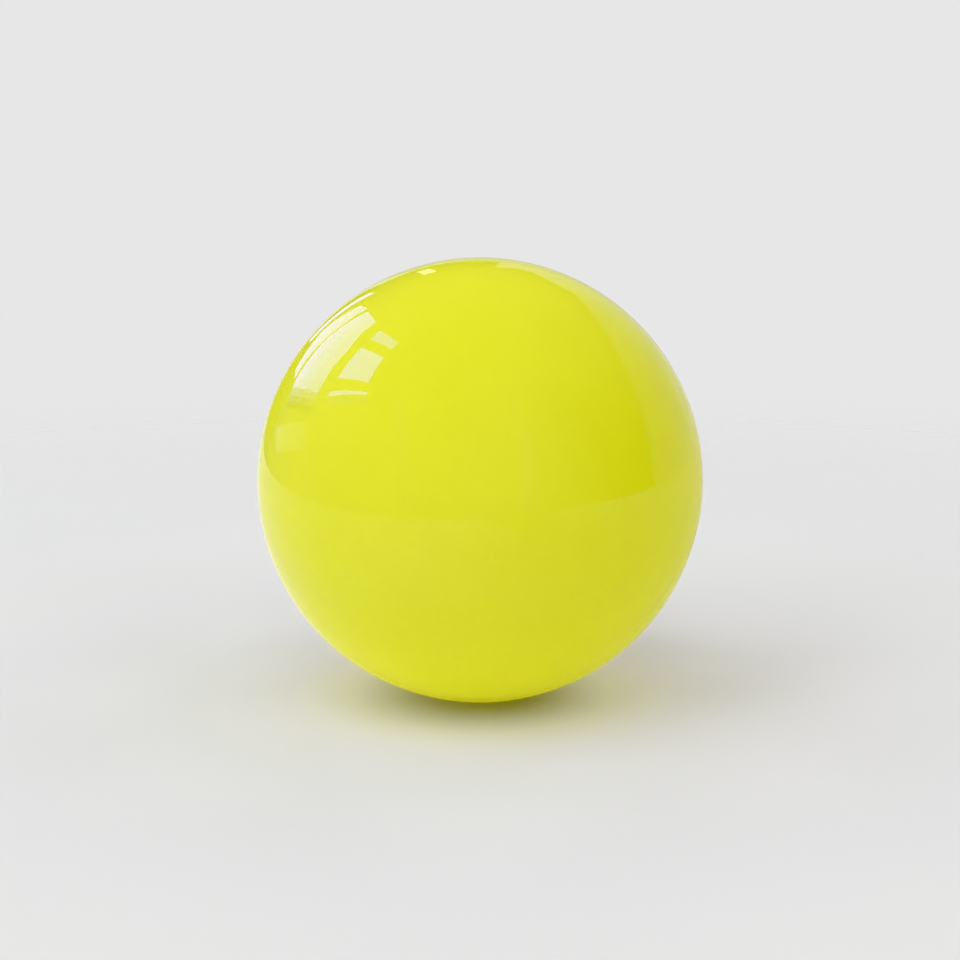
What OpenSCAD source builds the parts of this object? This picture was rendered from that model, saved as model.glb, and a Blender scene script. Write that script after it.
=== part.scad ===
// Smooth golf ball of nine bonded pieces, in millimetres.
// The origin is the centre of the ball. +Z is up when it lies on a surface, and the pole of the cover.
// From the inside out: a rubber core, a shell of stiffer rubber, an ionomer mantle, a urethane cover,
// a primer and a gloss lacquer. The three thick layers are moulded as pairs of half shells, and each
// pair is parted at a right angle to the pair inside it, so that no two seams lie on one another.

/* [Ball] */
// Diameter over the lacquer
ball_d = 42.67; // [37:0.01:43]

/* [Coats] */
// Thickness of the gloss lacquer
lacquer_t = 0.10; // [0.06:0.01:0.2]
// Thickness of the primer under it
primer_t = 0.08; // [0.06:0.01:0.2]

/* [Layers] */
// Wall of the urethane cover
cover_t = 0.80; // [0.6:0.05:2]
// Wall of the ionomer mantle
mantle_t = 0.95; // [0.6:0.05:2]
// Wall of the stiff outer core
outer_core_t = 6.35; // [3:0.05:8]

/* [Hidden] */
ball_r = ball_d / 2;
cover_r = ball_r - lacquer_t - primer_t;
mantle_r = cover_r - cover_t;
outer_core_r = mantle_r - mantle_t;
inner_core_r = outer_core_r - outer_core_t;

$fn = 128;

// A closed shell between two concentric spheres.
module shell(outer_r, wall) {
    difference() {
        sphere(r = outer_r);
        sphere(r = outer_r - wall);
    }
}

// The half of a shell that lies on the side of the origin that axis points to.
module half_shell(outer_r, wall, axis) {
    block = 4 * outer_r;
    intersection() {
        shell(outer_r, wall);
        translate(axis * block / 2) cube(block, center = true);
    }
}

module inner_core() {
    color("#5d6b73") sphere(r = inner_core_r);
}

module outer_core_left() {
    color("#2f7f8c") half_shell(outer_core_r, outer_core_t, [-1, 0, 0]);
}

module outer_core_right() {
    color("#2f7f8c") half_shell(outer_core_r, outer_core_t, [1, 0, 0]);
}

module mantle_front() {
    color("#efe9d8") half_shell(mantle_r, mantle_t, [0, -1, 0]);
}

module mantle_rear() {
    color("#efe9d8") half_shell(mantle_r, mantle_t, [0, 1, 0]);
}

module cover_lower() {
    color("#d9dc4a") half_shell(cover_r, cover_t, [0, 0, -1]);
}

module cover_upper() {
    color("#d9dc4a") half_shell(cover_r, cover_t, [0, 0, 1]);
}

module primer_coat() {
    color("#f3f2e6") shell(cover_r + primer_t, primer_t);
}

module gloss_lacquer() {
    color("#dfe019") shell(ball_r, lacquer_t);
}

inner_core();
outer_core_left();
outer_core_right();
mantle_front();
mantle_rear();
cover_lower();
cover_upper();
primer_coat();
gloss_lacquer();
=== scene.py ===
"""A smooth golf ball with a glossy lime yellow lacquer, lying on a pale floor in soft window light."""

import math

import bmesh
import bpy
from mathutils import Matrix, Vector, noise


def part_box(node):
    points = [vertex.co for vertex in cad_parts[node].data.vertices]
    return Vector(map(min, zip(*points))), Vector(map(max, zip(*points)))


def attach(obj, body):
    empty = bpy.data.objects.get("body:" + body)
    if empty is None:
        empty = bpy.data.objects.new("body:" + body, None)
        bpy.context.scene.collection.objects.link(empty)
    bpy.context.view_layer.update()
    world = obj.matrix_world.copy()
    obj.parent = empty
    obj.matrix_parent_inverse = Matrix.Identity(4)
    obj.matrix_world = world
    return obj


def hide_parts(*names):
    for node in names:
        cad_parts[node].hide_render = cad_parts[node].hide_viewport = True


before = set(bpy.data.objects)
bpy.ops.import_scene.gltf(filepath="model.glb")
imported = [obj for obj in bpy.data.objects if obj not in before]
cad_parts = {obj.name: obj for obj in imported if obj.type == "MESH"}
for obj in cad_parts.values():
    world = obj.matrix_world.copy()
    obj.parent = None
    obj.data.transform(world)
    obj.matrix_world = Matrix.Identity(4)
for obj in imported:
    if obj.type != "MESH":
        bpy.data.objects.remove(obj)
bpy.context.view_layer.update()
SCENE = bpy.context.scene

# ---------------------------------------------------------------- sizes, from the frame, in metres
low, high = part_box("gloss_lacquer")
BALL_R = (high.z - low.z) / 2
BALL_CENTRE = (low + high) / 2
FLOOR_Z = BALL_CENTRE.z - BALL_R
primer_low, primer_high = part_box("primer_coat")
PRIMER_R = (primer_high.z - primer_low.z) / 2
FILM_OUTER_CUTS = 104  # cuts along a cube's edge, for the two faces of the lacquer film
FILM_INNER_CUTS = 56

# ---------------------------------------------------------------- the photograph's view
CAMERA_ELEVATION = 10.0  # degrees above the horizon
LENS_MM = 70.0
SENSOR_MM = 36.0
BALL_SHARE = 0.464  # the ball's outline as a share of the frame's width
CLIP_START_SHARE = 0.05  # of the camera's distance
CLIP_END = 400 * BALL_R


# ---------------------------------------------------------------- helpers
def new_piece(name, mesh):
    """An object made of mesh, which is freed."""
    data = bpy.data.meshes.new(name)
    mesh.to_mesh(data)
    mesh.free()
    piece = bpy.data.objects.new(name, data)
    SCENE.collection.objects.link(piece)
    return piece


def dress(piece, material):
    """Gives piece this one material."""
    piece.data.materials.clear()
    piece.data.materials.append(material)


def new_material(name):
    """An empty node tree with its output: (material, node tree, surface input)."""
    material = bpy.data.materials.new(name)
    material.use_nodes = True
    tree = material.node_tree
    tree.nodes.clear()
    output = tree.nodes.new("ShaderNodeOutputMaterial")
    return material, tree, output.inputs["Surface"]


def principled(tree, surface, **values):
    """A Principled shader on surface, with the given socket values. An underscore stands for a space."""
    shader = tree.nodes.new("ShaderNodeBsdfPrincipled")
    for name, value in values.items():
        shader.inputs[name.replace("_", " ")].default_value = value
    tree.links.new(shader.outputs["BSDF"], surface)
    return shader


def noise_texture(tree, scale, detail=2.0, roughness=0.5):
    """Noise in the object's own metres. scale is cycles per metre."""
    place = tree.nodes.new("ShaderNodeTexCoord")
    texture = tree.nodes.new("ShaderNodeTexNoise")
    texture.inputs["Scale"].default_value = scale
    texture.inputs["Detail"].default_value = detail
    texture.inputs["Roughness"].default_value = roughness
    tree.links.new(place.outputs["Object"], texture.inputs["Vector"])
    return texture.outputs["Fac"]


def ramp(tree, value, stops):
    """A colour ramp over value. stops are (position, colour)."""
    node = tree.nodes.new("ShaderNodeValToRGB")
    elements = node.color_ramp.elements
    while len(elements) < len(stops):
        elements.new(0.5)
    for element, (position, colour) in zip(elements, stops):
        element.position = position
        element.color = (*colour, 1.0)
    tree.links.new(value, node.inputs["Fac"])
    return node.outputs["Color"]


def spread(tree, value, low_value, high_value):
    """value from 0 to 1, mapped to between low_value and high_value."""
    node = tree.nodes.new("ShaderNodeMapRange")
    node.inputs["To Min"].default_value = low_value
    node.inputs["To Max"].default_value = high_value
    tree.links.new(value, node.inputs["Value"])
    return node.outputs["Result"]


def bump(tree, shader, height, distance):
    """Makes shader's surface rise and fall by distance metres as height says."""
    node = tree.nodes.new("ShaderNodeBump")
    node.inputs["Strength"].default_value = 1.0
    node.inputs["Distance"].default_value = distance
    tree.links.new(height, node.inputs["Height"])
    tree.links.new(node.outputs["Normal"], shader.inputs["Normal"])


def speckled(name, base, fleck, fleck_scale, roughness, relief):
    """A moulded material: base colour with flecks, and a fine relief in metres."""
    material, tree, surface = new_material(name)
    shader = principled(tree, surface)
    flecks = noise_texture(tree, fleck_scale, detail=4.0, roughness=0.65)
    colour = ramp(tree, flecks, [(0.0, base), (0.56, base), (0.68, fleck)])
    tree.links.new(colour, shader.inputs["Base Color"])
    fine = noise_texture(tree, fleck_scale * 3.1, detail=3.0)
    tree.links.new(spread(tree, fine, *roughness), shader.inputs["Roughness"])
    bump(tree, shader, fine, relief)
    return material


# ---------------------------------------------------------------- materials of the ball
LACQUER_DEEP = (0.95, 0.95, 0.005)
LACQUER_LIGHT = (0.97, 0.97, 0.009)
LACQUER_ROUGHNESS = (0.015, 0.035)  # from its wettest spots to its dullest
LACQUER_IOR = 1.5


def lacquer_material():
    """Pigmented gloss lacquer: a nearly even yellow, and a wet surface that is a little duller in spots."""
    material, tree, surface = new_material("yellow_gloss_lacquer")
    shader = principled(tree, surface, IOR=LACQUER_IOR)
    cloud = noise_texture(tree, 140.0, detail=3.0)
    colour = ramp(tree, cloud, [(0.35, LACQUER_DEEP), (0.65, LACQUER_LIGHT)])
    tree.links.new(colour, shader.inputs["Base Color"])
    spots = noise_texture(tree, 260.0)
    tree.links.new(spread(tree, spots, *LACQUER_ROUGHNESS), shader.inputs["Roughness"])
    return material


# ---------------------------------------------------------------- the lacquer film
WAVE_HEIGHT = 1.2e-6  # metres: the slow waves that the flow of the wet film left, and finer ones on them
WAVES_PER_RADIUS = 3.0
RIPPLE_HEIGHT = 0.4e-6
RIPPLES_PER_RADIUS = 9.0


def sphere_lattice(divisions):
    """Points on a unit sphere and the quads between them, from a cube cut into divisions each way."""
    number = {}
    points = []
    quads = []

    def corner(i, j, k):
        key = (i, j, k)
        if key not in number:
            number[key] = len(points)
            flat = [math.tan((2 * x / divisions - 1) * math.pi / 4) for x in key]
            points.append(Vector(flat).normalized())
        return number[key]

    for axis in range(3):
        for side in (0, divisions):
            for a in range(divisions):
                for b in range(divisions):
                    ring = []
                    for p, q in ((a, b), (a + 1, b), (a + 1, b + 1), (a, b + 1)):
                        place = [p, q]
                        place.insert(axis, side)
                        ring.append(corner(*place))
                    outward = (side == divisions) == (axis != 1)
                    quads.append(ring if outward else ring[::-1])
    return points, quads


def film_height(outward):
    """How far the lacquer stands above its mean, in metres, in the unit direction outward."""
    waves = WAVE_HEIGHT * noise.noise(outward * WAVES_PER_RADIUS)
    return waves + RIPPLE_HEIGHT * noise.noise(outward * RIPPLES_PER_RADIUS)


def lacquer_film():
    """The lacquer as a closed film, with the waves of the flow outside and the primer inside."""
    mesh = bmesh.new()
    for divisions, radius, inward in ((FILM_OUTER_CUTS, BALL_R, False), (FILM_INNER_CUTS, PRIMER_R, True)):
        points, quads = sphere_lattice(divisions)
        made = []
        for point in points:
            r = radius if inward else radius + film_height(point)
            made.append(mesh.verts.new(BALL_CENTRE + point * r))
        for quad in quads:
            mesh.faces.new([made[i] for i in (quad[::-1] if inward else quad)])
    for face in mesh.faces:
        face.smooth = True
    return new_piece("lacquer_film", mesh)


film = lacquer_film()
dress(film, lacquer_material())
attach(film, "root")
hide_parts("gloss_lacquer")

# base colour, fleck colour, flecks per metre, roughness from and to, and relief in metres
inner_rubber = speckled("inner_core_rubber", (0.11, 0.15, 0.17), (0.3, 0.34, 0.36), 900, (0.55, 0.8), 2e-5)
outer_rubber = speckled("outer_core_rubber", (0.03, 0.21, 0.26), (0.02, 0.12, 0.16), 1300, (0.5, 0.75), 2e-5)
ionomer = speckled("mantle_ionomer", (0.86, 0.81, 0.67), (0.80, 0.74, 0.60), 500, (0.25, 0.4), 6e-6)
urethane = speckled("cover_urethane", (0.69, 0.72, 0.07), (0.62, 0.66, 0.05), 700, (0.3, 0.5), 8e-6)
primer = speckled("primer_coat", (0.90, 0.89, 0.79), (0.86, 0.85, 0.75), 1500, (0.6, 0.8), 4e-6)
for node, material in {
    "inner_core": inner_rubber,
    "outer_core_left": outer_rubber,
    "outer_core_right": outer_rubber,
    "mantle_front": ionomer,
    "mantle_rear": ionomer,
    "cover_lower": urethane,
    "cover_upper": urethane,
    "primer_coat": primer,
}.items():
    dress(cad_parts[node], material)


# ---------------------------------------------------------------- the stage
def direction(azimuth, elevation):
    """A unit vector. Azimuth 0 is towards the camera, 90 is to its right, and 180 is behind the ball."""
    a, e = math.radians(azimuth), math.radians(elevation)
    return Vector((math.sin(a) * math.cos(e), -math.cos(a) * math.cos(e), math.sin(e)))


def disc(name, radius, z):
    """A flat round plate at height z."""
    mesh = bmesh.new()
    bmesh.ops.create_circle(mesh, cap_ends=True, radius=radius, segments=128)
    bmesh.ops.translate(mesh, verts=mesh.verts, vec=(0, 0, z))
    plate = new_piece(name, mesh)
    return plate


FLOOR_R = 40 * BALL_R
FADE_FROM = 3.5 * BALL_R
FADE_TO = 12 * BALL_R
DOME_R = 100 * BALL_R
BACKDROP_COLOUR = (0.80, 0.80, 0.80)  # the photograph's pale grey
FLOOR_PAINTED_SHADE = [  # distance from where the ball rests, in ball radii, and the card's colour there: painted shade, darker near the ball and bluer to cancel its yellow bounce light
    (0.4, (0.74, 0.71, 0.96)),
    (0.6, (0.83, 0.81, 0.97)),
    (0.9, (0.82, 0.80, 0.96)),
    (1.2, (0.85, 0.84, 0.95)),
    (1.7, (0.88, 0.87, 0.93)),
    (3.0, (0.90, 0.90, 0.90)),
]


def distance_node(tree, point):
    """How far the shaded point is from point, both in the object's own metres."""
    place = tree.nodes.new("ShaderNodeTexCoord")
    node = tree.nodes.new("ShaderNodeVectorMath")
    node.operation = "DISTANCE"
    node.inputs[1].default_value = point
    tree.links.new(place.outputs["Object"], node.inputs[0])
    return node.outputs["Value"]


def share(tree, value, start, end, smooth=False):
    """0 where value is start, and 1 where it is end."""
    node = tree.nodes.new("ShaderNodeMapRange")
    node.interpolation_type = "SMOOTHSTEP" if smooth else "LINEAR"
    node.inputs["From Min"].default_value = start
    node.inputs["From Max"].default_value = end
    tree.links.new(value, node.inputs["Value"])
    return node.outputs["Result"]


def product(tree, first, second):
    """Two colours multiplied."""
    node = tree.nodes.new("ShaderNodeMix")
    node.data_type = "RGBA"
    node.blend_type = "MULTIPLY"
    node.inputs["Factor"].default_value = 1.0
    tree.links.new(first, node.inputs["A"])
    tree.links.new(second, node.inputs["B"])
    return node.outputs["Result"]


def floor_material():
    """Matt pale card with a faint grain, and painted shade in bands around where the ball rests. It melts
    into the backdrop between FADE_FROM and FADE_TO.
    """
    material, tree, surface = new_material("floor_card")
    shader = principled(tree, surface, Roughness=0.9, Specular_IOR_Level=0.0)
    distance = distance_node(tree, (0, 0, FLOOR_Z))
    reach = FLOOR_PAINTED_SHADE[-1][0]
    # painted shade: the card is darker and bluer in bands close to the ball
    painted_shade_rings = ramp(tree, share(tree, distance, 0, reach * BALL_R), [(r / reach, c) for r, c in FLOOR_PAINTED_SHADE])
    grain = ramp(tree, noise_texture(tree, 60.0, detail=3.0), [(0.3, (0.995,) * 3), (0.7, (1.0,) * 3)])
    tree.links.new(product(tree, painted_shade_rings, grain), shader.inputs["Base Color"])
    clear = tree.nodes.new("ShaderNodeBsdfTransparent")
    mix = tree.nodes.new("ShaderNodeMixShader")
    tree.links.new(share(tree, distance, FADE_FROM, FADE_TO, smooth=True), mix.inputs["Fac"])
    tree.links.new(shader.outputs["BSDF"], mix.inputs[1])
    tree.links.new(clear.outputs["BSDF"], mix.inputs[2])
    tree.links.new(mix.outputs["Shader"], surface)
    return material


def glowing(name, colour, strength=1.0):
    """A material that only gives light."""
    material, tree, surface = new_material(name)
    shader = tree.nodes.new("ShaderNodeEmission")
    shader.inputs["Color"].default_value = (*colour, 1.0)
    shader.inputs["Strength"].default_value = strength
    tree.links.new(shader.outputs["Emission"], surface)
    return material


floor = disc("floor", FLOOR_R, FLOOR_Z)
dress(floor, floor_material())
floor.visible_glossy = False
floor.visible_shadow = False

# The photograph's ball mirrors a table that ends behind it, so reflections get a table of their own.
TABLE_R = 14 * BALL_R
TABLE_CENTRE = Vector((4.7 * BALL_R, 5.3 * BALL_R, 0))
TABLE_LIFT = 0.001 * BALL_R  # above the floor, so that the two don't lie in one plane


def table_material():
    """The card again, with painted light: a painted shadow, dark and yellow, under the ball, painted shade
    to the right, and a faint painted yellow glow.
    """
    material, tree, surface = new_material("table_card")
    shader = principled(tree, surface, Roughness=0.9, Specular_IOR_Level=0.0, Emission_Strength=1.0)
    # painted glow: the card gives a faint yellow light of its own
    shader.inputs["Emission Color"].default_value = (0.2, 0.19, 0.0, 1.0)
    from_ball = share(tree, distance_node(tree, -TABLE_CENTRE), 0, 3 * BALL_R)
    # painted shadow: darker and yellow close under the ball
    painted_shadow_spot = ramp(tree, from_ball, [(0.15, (0.7, 0.67, 0.05)), (0.6, (0.9, 0.9, 0.9))])
    place = tree.nodes.new("ShaderNodeTexCoord")
    split = tree.nodes.new("ShaderNodeSeparateXYZ")
    tree.links.new(place.outputs["Object"], split.inputs[0])
    # painted shade: the card is dimmer towards the right
    across = share(tree, split.outputs["X"], -1 * BALL_R - TABLE_CENTRE.x, 6 * BALL_R - TABLE_CENTRE.x)
    dim = ramp(tree, across, [(0.0, (1.0, 1.0, 1.0)), (0.4, (0.6, 0.6, 0.45)), (1.0, (0.7, 0.7, 0.6))])
    tree.links.new(product(tree, painted_shadow_spot, dim), shader.inputs["Base Color"])
    return material


table = disc("table_in_reflections", TABLE_R, FLOOR_Z + TABLE_LIFT)
table.location = TABLE_CENTRE
dress(table, table_material())
table.visible_camera = False
table.visible_diffuse = False
table.visible_shadow = False


def backdrop():
    """A pale dome behind everything, which only the camera sees."""
    mesh = bmesh.new()
    bmesh.ops.create_uvsphere(mesh, u_segments=48, v_segments=24, radius=DOME_R)
    dome = new_piece("backdrop", mesh)
    dress(dome, glowing("backdrop_pale", BACKDROP_COLOUR))
    dome.visible_diffuse = False
    dome.visible_glossy = False
    dome.visible_transmission = False
    dome.visible_shadow = False


backdrop()

# ---------------------------------------------------------------- what the lacquer mirrors
ROOM = {  # the dim room's light from each side
    (-1, 0, 0): (0.85, 0.84, 0.58),
    (1, 0, 0): (0.38, 0.34, 0.02),
    (0, -1, 0): (0.65, 0.64, 0.50),
    (0, 1, 0): (0.35, 0.34, 0.02),
    (0, 0, 1): (0.55, 0.55, 0.45),
}


def side_light(tree, towards, side, colour):
    """colour times the square of towards' part along side, or nothing where it points away from side."""
    dot = tree.nodes.new("ShaderNodeVectorMath")
    dot.operation = "DOT_PRODUCT"
    dot.inputs[1].default_value = side
    tree.links.new(towards, dot.inputs[0])
    front = tree.nodes.new("ShaderNodeMath")
    front.operation = "MAXIMUM"
    front.inputs[1].default_value = 0.0
    tree.links.new(dot.outputs["Value"], front.inputs[0])
    square = tree.nodes.new("ShaderNodeMath")
    square.operation = "POWER"
    square.inputs[1].default_value = 2.0
    tree.links.new(front.outputs[0], square.inputs[0])
    light = tree.nodes.new("ShaderNodeVectorMath")
    light.operation = "SCALE"
    light.inputs[0].default_value = colour
    tree.links.new(square.outputs[0], light.inputs["Scale"])
    return light.outputs[0]


def room_light():
    """The dim room, which shows in the lacquer and lights nothing: the sum of its sides' light."""
    world = bpy.data.worlds.new("room")
    SCENE.world = world
    world.use_nodes = True
    world.cycles_visibility.diffuse = False
    tree = world.node_tree
    place = tree.nodes.new("ShaderNodeTexCoord")
    total = None
    for side, colour in ROOM.items():
        light = side_light(tree, place.outputs["Generated"], side, colour)
        if total is None:
            total = light
        else:
            add = tree.nodes.new("ShaderNodeVectorMath")
            add.operation = "ADD"
            tree.links.new(total, add.inputs[0])
            tree.links.new(light, add.inputs[1])
            total = add.outputs[0]
    tree.links.new(total, tree.nodes["Background"].inputs["Color"])


room_light()

SKY = (0.26, 0.24, 1.0)
PALE_SKY = (0.36, 0.34, 1.0)
LOW_SKY = (0.48, 0.46, 1.0)
WARM_WALL = (1.2, 1.2, 1.0)
YELLOW_WALL = (1.0, 1.0, 0.15)
SHAPE_DISTANCE = 40 * BALL_R
# Bright shapes of the room that show in the lacquer: brightness, colour, corners as (azimuth, elevation).
# They light nothing else: the soft lamps below do that.
SHAPES = {
    "pane_small": (4.5, SKY, [(-122, 50), (-99, 59), (-95, 56), (-117, 47)]),
    "pane_square": (6.5, SKY, [(-114, 44), (-92, 52), (-83, 42), (-106, 33)]),
    "pane_sill": (6.0, SKY, [(-104, 28), (-79, 39), (-77, 38), (-102, 27)]),
    "pane_sill_glow": (1.0, SKY, [(-102, 26), (-77, 37), (-73, 35), (-99, 25)]),
    "pane_tall": (
        4.4,
        PALE_SKY,
        [(-145, 36), (-132, 46), (-127, 42), (-119, 38), (-116, 32), (-113, 27), (-139, 13), (-143, 23)],
    ),
    "pane_tall_foot": (3.9, PALE_SKY, [(-139, 13), (-113, 27), (-111, 24), (-137, 12)]),
    "pane_fade_high": (1.7, PALE_SKY, [(-137, 12), (-111, 24), (-110, 22), (-135, 11)]),
    "pane_fade_middle": (0.9, PALE_SKY, [(-135, 11), (-110, 22), (-109, 20), (-134, 10)]),
    "pane_fade_low": (0.4, PALE_SKY, [(-134, 10), (-109, 20), (-108, 18), (-133, 9)]),
    "pane_next": (
        2.9,
        LOW_SKY,
        [(-154, 26), (-148, 34), (-145, 28), (-143, 16), (-141, 12), (-148, 10), (-155, 14)],
    ),
    "pane_far": (2.6, LOW_SKY, [(-163, 18), (-161, 23), (-160, 23), (-157, 9), (-161, 6)]),
    "far_wall": (
        0.6,
        YELLOW_WALL,
        [
            (-140, 1),
            (-141, 9),
            (-148, 9),
            (-156, 8),
            (-161, 5),
            (-167, 8),
            (-162, 1),
            (-158, -3),
            (-150, -4),
        ],
    ),
    "low_patch": (0.8, WARM_WALL, [(-136, 3), (-107, 15), (-100, 8), (-128, 0)]),
    "top_glint": (1.2, WARM_WALL, [(-170, 22), (-168, 31), (-171, 31), (-172, 22)]),
    "top_glow": (
        0.6,
        WARM_WALL,
        [
            (158, 34),
            (163, 33),
            (169, 29),
            (173, 28),
            (175, 31),
            (177, 31),
            (177, 19),
            (172, 19),
            (166, 14),
            (158, 24),
        ],
    ),
    "low_glow_left": (
        0.7,
        WARM_WALL,
        [(-150, -4), (-153, -3), (-158, -2), (-162, 2), (-168, 9), (-167, 16), (-171, 17), (-172, -4)],
    ),
    "low_glow_middle": (
        0.5,
        WARM_WALL,
        [(-172, -4), (-171, 17), (180, 20), (172, 19), (165, 10), (165, -4)],
    ),
    "low_glow_right": (0.6, WARM_WALL, [(165, -4), (165, 10), (148, 8), (143, -4)]),
    "slanted_strip": (
        0.64,
        WARM_WALL,
        [(-61, 43), (-53, 43), (-42, 31), (-34, 13), (-32, -6), (-40, -6), (-42, 13), (-49, 31)],
    ),
    "upright_strip": (0.58, WARM_WALL, [(20, 51), (27, 51), (27, -6), (20, -6)]),
}


def in_reflections_only(piece):
    """Lets piece show in the lacquer, and nowhere else."""
    piece.visible_camera = False
    piece.visible_diffuse = False
    piece.visible_transmission = False
    piece.visible_shadow = False


def bright_shape(name, brightness, colour, corners):
    """A flat bright shape far from the ball."""
    mesh = bmesh.new()
    mesh.faces.new([mesh.verts.new(BALL_CENTRE + direction(*corner) * SHAPE_DISTANCE) for corner in corners])
    shape = new_piece(name, mesh)
    dress(shape, glowing(name, colour, brightness))
    in_reflections_only(shape)


for name, (brightness, colour, corners) in SHAPES.items():
    bright_shape(name, brightness, colour, corners)


REFLECTOR_AZIMUTH = 135
REFLECTOR_HALF_ANGLE = 39
REFLECTOR_DISTANCE = 45 * BALL_R
REFLECTOR_R = REFLECTOR_DISTANCE * math.tan(math.radians(REFLECTOR_HALF_ANGLE))
REFLECTOR_NEAR = (0.45, 0.44, 0.28)
REFLECTOR_FAR = (0.75, 0.75, 0.68)
REFLECTOR_EDGE = (0.8, 0.8, 0.4)  # what the colour is multiplied by at the rim
REFLECTOR_EDGE_FROM = 0.9 * REFLECTOR_R


def round_reflector():
    """A large round reflector behind the ball, on the right, and brighter on its far side."""
    material, tree, surface = new_material("reflector_cloth")
    shader = tree.nodes.new("ShaderNodeEmission")
    place = tree.nodes.new("ShaderNodeTexCoord")
    split = tree.nodes.new("ShaderNodeSeparateXYZ")
    tree.links.new(place.outputs["Object"], split.inputs[0])
    across = share(tree, split.outputs["X"], -REFLECTOR_R, REFLECTOR_R)
    cloth_colour = ramp(tree, across, [(0.0, REFLECTOR_NEAR), (1.0, REFLECTOR_FAR)])
    rim = share(tree, distance_node(tree, (0, 0, 0)), REFLECTOR_EDGE_FROM, REFLECTOR_R, smooth=True)
    edge = ramp(tree, rim, [(0.0, (1.0, 1.0, 1.0)), (1.0, REFLECTOR_EDGE)])
    tree.links.new(product(tree, cloth_colour, edge), shader.inputs["Color"])
    tree.links.new(shader.outputs["Emission"], surface)
    mesh = bmesh.new()
    bmesh.ops.create_circle(mesh, cap_ends=True, radius=REFLECTOR_R, segments=96)
    cloth = new_piece("round_reflector", mesh)
    toward = direction(REFLECTOR_AZIMUTH, 0)
    upward = Vector((0, 0, 1))
    turned = Matrix((upward.cross(toward), upward, -toward)).transposed().to_4x4()
    cloth.matrix_world = Matrix.Translation(BALL_CENTRE + toward * REFLECTOR_DISTANCE) @ turned
    dress(cloth, material)
    in_reflections_only(cloth)


round_reflector()


# ---------------------------------------------------------------- soft light
SOFT_RINGS = {  # elevation: half the angle that each lamp fills, and azimuth: brightness
    62: (15, {0: 1.35, 60: 0.45, 120: 0.4, 180: 0.3, -120: 0.35, -60: 1.6}),
    35: (15, {0: 1.4, 45: 1.5, 90: 1.25, 135: 1.25, 180: 1.0, -135: 1.0, -90: 1.15, -45: 2.0}),
    15: (12, {180: 0.65, -120: 0.7, -60: 0.8}),
    -20: (15, {0: 0.2, 120: 0.2, -120: 0.3, -60: 0.95}),
    -50: (15, {0: 0.3, 60: 0.15, 120: 1.2, 180: 1.85, -120: 0.75, -60: 0.25}),
}
WARMTH = 0.03  # how much redder the light is at its warmest, opposite COOLEST_AZIMUTH
COOLEST_AZIMUTH = -60
LAMP_DISTANCE = 60 * BALL_R


def lamp(name, azimuth, elevation, half_angle, brightness):
    """A round area lamp that faces the ball, and that the lacquer doesn't mirror."""
    light = bpy.data.lights.new(name, "AREA")
    light.shape = "DISK"
    light.size = 2 * LAMP_DISTANCE * math.tan(math.radians(half_angle))
    light.energy = brightness * math.pi * light.size**2
    warm = -WARMTH * math.cos(math.radians(azimuth - COOLEST_AZIMUTH))
    light.color = (1 + warm, 1, 1 - warm)
    away = direction(azimuth, elevation)
    lamp_object = bpy.data.objects.new(name, light)
    lamp_object.location = BALL_CENTRE + away * LAMP_DISTANCE
    lamp_object.rotation_mode = "QUATERNION"
    lamp_object.rotation_quaternion = away.to_track_quat("Z", "Y")
    lamp_object.visible_camera = False
    lamp_object.visible_glossy = False
    SCENE.collection.objects.link(lamp_object)


for elevation, (half_angle, ring) in SOFT_RINGS.items():
    for azimuth, brightness in ring.items():
        lamp(f"soft_{elevation}_{azimuth % 360:03d}", azimuth, elevation, half_angle, brightness)


# ---------------------------------------------------------------- camera
def photo_camera():
    """In front of the ball and above it, where the ball's outline takes its share of the frame."""
    data = bpy.data.cameras.new("camera")
    data.lens = LENS_MM
    data.sensor_width = SENSOR_MM
    outline_angle = math.atan(BALL_SHARE * SENSOR_MM / 2 / LENS_MM)
    distance = BALL_R / math.sin(outline_angle)
    data.clip_start = distance * CLIP_START_SHARE
    data.clip_end = CLIP_END
    camera = bpy.data.objects.new("camera", data)
    back = direction(0, CAMERA_ELEVATION)
    camera.location = BALL_CENTRE + back * distance
    camera.rotation_mode = "QUATERNION"
    camera.rotation_quaternion = (-back).to_track_quat("-Z", "Y")
    SCENE.collection.objects.link(camera)
    SCENE.camera = camera


photo_camera()
SCENE.view_settings.view_transform = "Standard"
SCENE.view_settings.look = "None"
